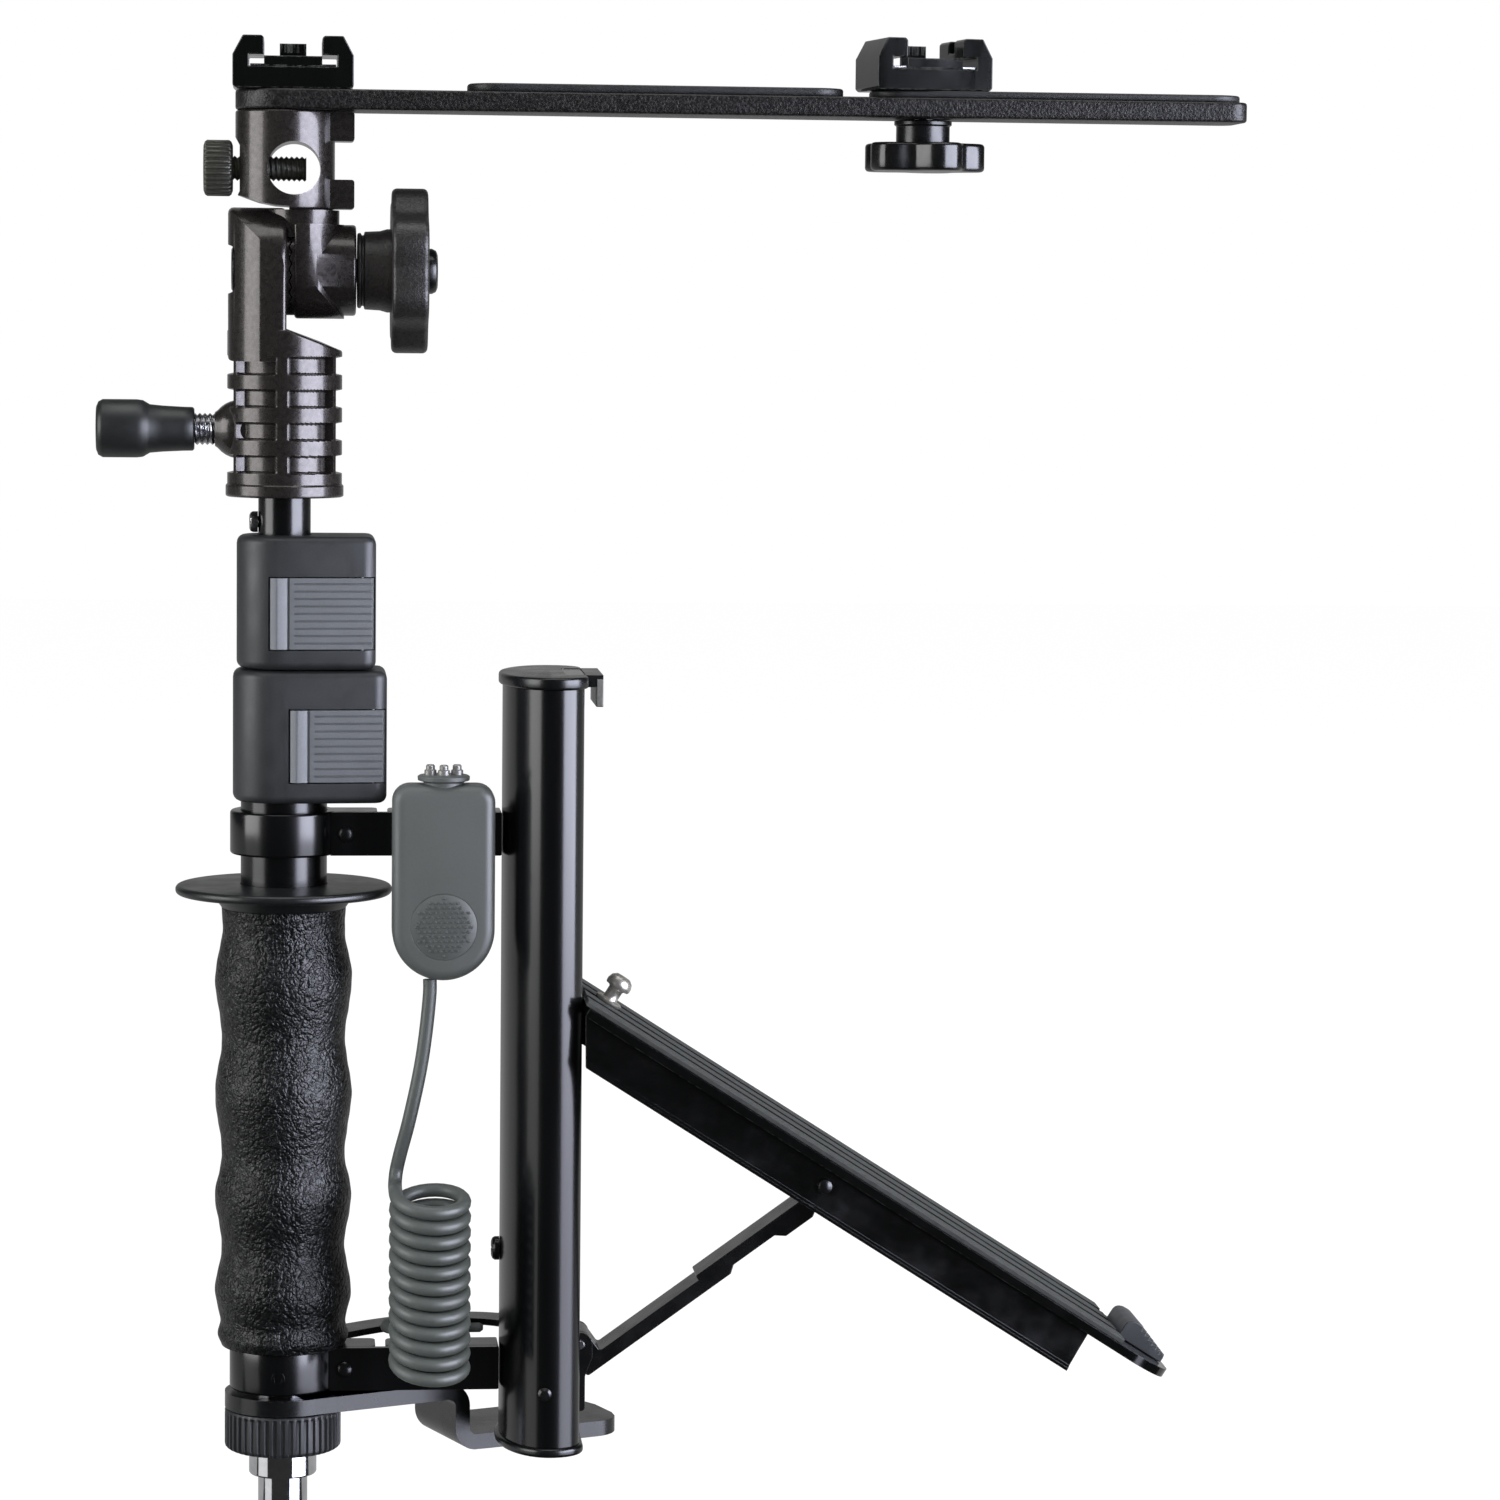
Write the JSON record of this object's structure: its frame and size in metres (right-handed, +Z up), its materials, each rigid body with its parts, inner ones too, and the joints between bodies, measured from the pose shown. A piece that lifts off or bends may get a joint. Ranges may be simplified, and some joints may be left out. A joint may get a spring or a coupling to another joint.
{
  "type": "camera flash bracket",
  "caption": "Telescopic hand grip with a tilting umbrella head, a bar with accessory shoes, a side post with a folding tray and a wired remote release.",
  "frame": {"origin": "centre of the spigot's bottom face, on the axis of the hand grip", "axes": "+Z up along the grip, +X along the bar towards its free end, -Y the front with the remote"},
  "size_m": [0.2856, 0.0745, 0.3817],
  "materials": {
    "spigot_chrome": "polished chrome plating",
    "black_anodised": "black anodised aluminium, satin",
    "satin_black": "black oxide, matt",
    "cast_bronze_paint": "brown-black paint on a die casting",
    "textured_paint": "fine textured dark paint",
    "black_rubber": "textured black rubber",
    "grooved_rubber": "grooved dark grey rubber",
    "black_plastic": "moulded black plastic",
    "grey_plastic": "moulded grey plastic",
    "bright_steel": "bright steel"
  },
  "bodies": {
    "base": {"spigot_stud": "spigot_chrome", "outer_tube": "black_anodised", "grip_sleeve": "black_rubber", "hand_guard": "black_rubber", "lower_ring": "black_anodised", "lower_arm": "black_anodised", "lower_arm_plate": "black_anodised", "lower_arm_rivet": "satin_black", "lower_arm_brace": "black_anodised", "upper_ring": "black_anodised", "upper_arm": "black_anodised", "upper_arm_plate": "black_anodised", "upper_arm_rivet": "satin_black", "side_post": "black_anodised", "post_top_cap": "black_plastic", "post_bottom_cap": "black_plastic", "post_rivet": "satin_black", "post_screw": "satin_black", "strut_bracket": "black_anodised", "strut_pin": "bright_steel", "lower_lock_collar": "black_plastic", "lower_lock_pin": "bright_steel", "remote_body": "grey_plastic", "remote_clip": "bright_steel", "cord_lead": "grey_plastic", "cord_coil": "grey_plastic", "cord_tail": "grey_plastic", "cord_plug": "grey_plastic"},
    "lock_collar": {"knurled_collar": "satin_black"},
    "foot": {"foot_strap": "black_anodised"},
    "lower_lever": {"lower_lock_lever": "black_plastic"},
    "middle_stage": {"middle_tube": "black_anodised", "upper_lock_collar": "black_plastic", "upper_lock_pin": "bright_steel"},
    "upper_lever": {"upper_lock_lever": "black_plastic"},
    "inner_stage": {"inner_tube": "satin_black", "stop_screw": "satin_black", "clamp_body": "cast_bronze_paint", "tilt_bolt": "satin_black"},
    "socket_lock": {"socket_screw": "bright_steel", "socket_screw_cap": "black_rubber"},
    "tilting_head": {"tilt_head": "cast_bronze_paint", "umbrella_head": "cast_bronze_paint", "bar": "textured_paint", "camera_pad": "black_rubber", "shoe_pad": "black_rubber", "left_shoe": "satin_black", "left_shoe_spring": "bright_steel"},
    "hand_wheel": {"tilt_knob": "black_plastic"},
    "umbrella_lock": {"umbrella_screw": "satin_black"},
    "turning_shoe": {"right_shoe": "satin_black", "right_shoe_spring": "bright_steel"},
    "star_knob": {"shoe_knob": "black_plastic"},
    "strut_arm": {"strut": "black_anodised"},
    "tray": {"tray_channel": "black_anodised", "tray_pad": "grooved_rubber", "tray_stud": "spigot_chrome", "tray_hinge_pin": "bright_steel"},
    "latch": {"tray_latch": "black_plastic"},
    "shutter_button": {"remote_button": "grey_plastic"}
  },
  "joints": [
    {"name": "collar_turn", "type": "hinge", "parent": "base", "child": "lock_collar", "pos_m": [0, 0, 0.0318], "axis": [0, 0, 1], "continuous": true},
    {"name": "foot_swing", "type": "hinge", "parent": "base", "child": "foot", "pos_m": [0, 0, 0.0393], "axis": [0, 0, 1], "range_deg": [-40, 60]},
    {"name": "lower_lever_open", "type": "hinge", "parent": "base", "child": "lower_lever", "pos_m": [0.0215, -0.0103, 0.2055], "axis": [0, 0, 1], "range_deg": [0, 100]},
    {"name": "middle_slide", "type": "slide", "parent": "base", "child": "middle_stage", "axis": [0, 0, 1], "range_m": [0, 0.11]},
    {"name": "upper_lever_open", "type": "hinge", "parent": "middle_stage", "child": "upper_lever", "pos_m": [0.0187, -0.0103, 0.2384], "axis": [0, 0, 1], "range_deg": [0, 100]},
    {"name": "inner_slide", "type": "slide", "parent": "middle_stage", "child": "inner_stage", "axis": [0, 0, 1], "range_m": [0, 0.11]},
    {"name": "socket_screw_turn", "type": "hinge", "parent": "inner_stage", "child": "socket_lock", "pos_m": [-0.02, 0, 0.2834], "axis": [1, 0, 0], "continuous": true},
    {"name": "head_tilt", "type": "hinge", "parent": "inner_stage", "child": "tilting_head", "pos_m": [0, 0, 0.3229], "axis": [1, 0, 0], "range_deg": [-90, 90]},
    {"name": "hand_wheel_turn", "type": "hinge", "parent": "inner_stage", "child": "hand_wheel", "pos_m": [0.028, 0, 0.3229], "axis": [1, 0, 0], "continuous": true},
    {"name": "umbrella_screw_turn", "type": "hinge", "parent": "tilting_head", "child": "umbrella_lock", "pos_m": [-0.015, 0, 0.3477], "axis": [1, 0, 0], "continuous": true},
    {"name": "shoe_turn", "type": "hinge", "parent": "tilting_head", "child": "turning_shoe", "pos_m": [0.1587, 0, 0.372], "axis": [0, 0, 1], "continuous": true},
    {"name": "star_knob_turn", "type": "hinge", "parent": "tilting_head", "child": "star_knob", "pos_m": [0.1587, 0, 0.352], "axis": [0, 0, 1], "continuous": true},
    {"name": "fold", "type": "hinge", "parent": "base", "child": "strut_arm", "pos_m": [0.0746, 0, 0.0534], "axis": [0, -1, 0], "range_deg": [0, 38]},
    {"name": "tray_fold", "type": "hinge", "parent": "strut_arm", "child": "tray", "pos_m": [0.1346, 0, 0.0966], "axis": [0, 1, 0], "range_deg": [0, 76]},
    {"name": "latch_slide", "type": "slide", "parent": "tray", "child": "latch", "axis": [0.8434, 0, -0.5373], "range_m": [0, 0.003], "stiffness_N_per_m": 200, "springref_m": -0.001},
    {"name": "button_press", "type": "slide", "parent": "base", "child": "shutter_button", "axis": [0, 1, 0], "range_m": [0, 0.001], "stiffness_N_per_m": 300, "springref_m": -0.0005}
  ],
  "couplings": [
    {"joint": "tray_fold", "follows": "fold", "ratio": 2}
  ]
}
